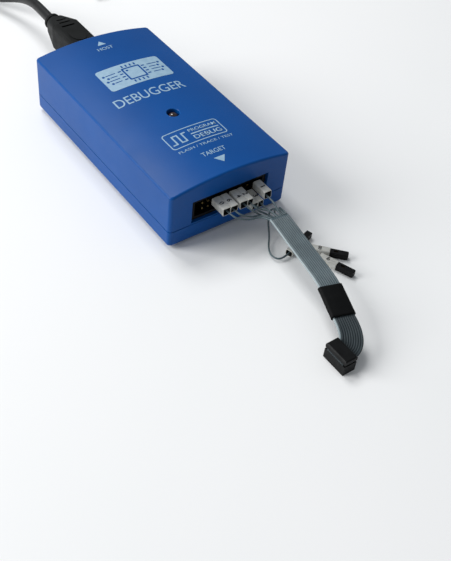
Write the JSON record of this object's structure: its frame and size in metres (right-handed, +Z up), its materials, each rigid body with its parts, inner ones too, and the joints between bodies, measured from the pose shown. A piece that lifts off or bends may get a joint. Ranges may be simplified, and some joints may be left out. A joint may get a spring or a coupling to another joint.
{
  "type": "usb microcontroller programmer",
  "caption": "Boxed debug programmer in a blue moulded case, with a USB host lead at the back and a numbered jumper adapter lead on its target header.",
  "frame": {"origin": "under the middle of the case, on the surface its feet stand on", "axes": "+Y towards the USB socket at the back, -Y towards the target header, +Z up"},
  "size_m": [0.0807, 0.3305, 0.027],
  "materials": {
    "case_blue": "moulded ABS, fine spark texture",
    "screw_steel": "zinc plated",
    "foot_rubber": "matt",
    "label_film": "blank printed film",
    "board_laminate": "solder resist over laminate",
    "socket_steel": "nickel plated, satin",
    "socket_plastic": "moulded",
    "contact_gold": "gold flash",
    "header_plastic": "moulded polyester",
    "light_lens": "clear tinted epoxy",
    "lead_tin": "tin plated",
    "chip_epoxy": "moulded epoxy",
    "can_metal": "drawn can",
    "plug_vinyl": "overmoulded vinyl",
    "cable_vinyl": "extruded vinyl sheath",
    "tie_nylon": "moulded nylon",
    "jumper_plastic": "moulded",
    "sleeve_white": "shrink sleeve, printed number",
    "ribbon_grey": "extruded vinyl",
    "shrink_black": "heat shrink tubing",
    "idc_plastic": "moulded"
  },
  "bodies": {
    "housing": {"top_cover": "case_blue", "bottom_cover": "case_blue", "case_screws": "screw_steel", "rubber_feet": "foot_rubber", "rating_label": "label_film", "circuit_board": "board_laminate", "usb_socket_shell": "socket_steel", "usb_socket_core": "socket_plastic", "usb_socket_contacts": "contact_gold", "header_pins": "contact_gold", "header_shroud": "header_plastic", "status_led": "light_lens", "led_leads": "lead_tin", "processor_leads": "lead_tin", "shifter_leads": "lead_tin", "processor_chip": "chip_epoxy", "level_shifters": "chip_epoxy", "voltage_regulator": "chip_epoxy", "chip_passives": "chip_epoxy", "filter_inductor": "chip_epoxy", "clock_crystal": "can_metal", "supply_capacitors": "can_metal"},
    "usb_lead": {"usb_plug_body": "plug_vinyl", "usb_plug_shell": "socket_steel", "usb_plug_insert": "socket_plastic", "usb_cable": "cable_vinyl", "usb_cable_coil": "cable_vinyl", "usb_cable_tail": "cable_vinyl", "cable_tie": "tie_nylon", "host_plug_body": "plug_vinyl", "host_plug_shell": "socket_steel", "host_plug_tongue": "socket_plastic"},
    "target_lead": {"jumper_socket_0": "jumper_plastic", "jumper_socket_1": "jumper_plastic", "jumper_socket_2": "jumper_plastic", "jumper_socket_3": "jumper_plastic", "jumper_socket_4": "jumper_plastic", "jumper_socket_5": "jumper_plastic", "jumper_socket_6": "jumper_plastic", "jumper_socket_7": "jumper_plastic", "jumper_socket_8": "jumper_plastic", "jumper_socket_9": "jumper_plastic", "number_sleeves": "sleeve_white", "socket_contacts": "contact_gold", "lead_wire_0": "ribbon_grey", "lead_wire_1": "ribbon_grey", "lead_wire_2": "ribbon_grey", "lead_wire_3": "ribbon_grey", "lead_wire_4": "ribbon_grey", "lead_wire_5": "ribbon_grey", "lead_wire_6": "ribbon_grey", "lead_wire_7": "ribbon_grey", "lead_wire_8": "ribbon_grey", "lead_wire_9": "ribbon_grey", "ribbon_cable": "ribbon_grey", "heat_shrink": "shrink_black", "idc_plug_body": "idc_plastic", "idc_plug_cover": "idc_plastic", "idc_contacts": "contact_gold"}
  },
  "joints": [
    {"name": "usb_plug_pull", "type": "slide", "parent": "housing", "child": "usb_lead", "axis": [0, 1, 0], "range_m": [0, 0.012]},
    {"name": "target_lead_pull", "type": "slide", "parent": "housing", "child": "target_lead", "axis": [0, -1, 0], "range_m": [0, 0.008]}
  ]
}
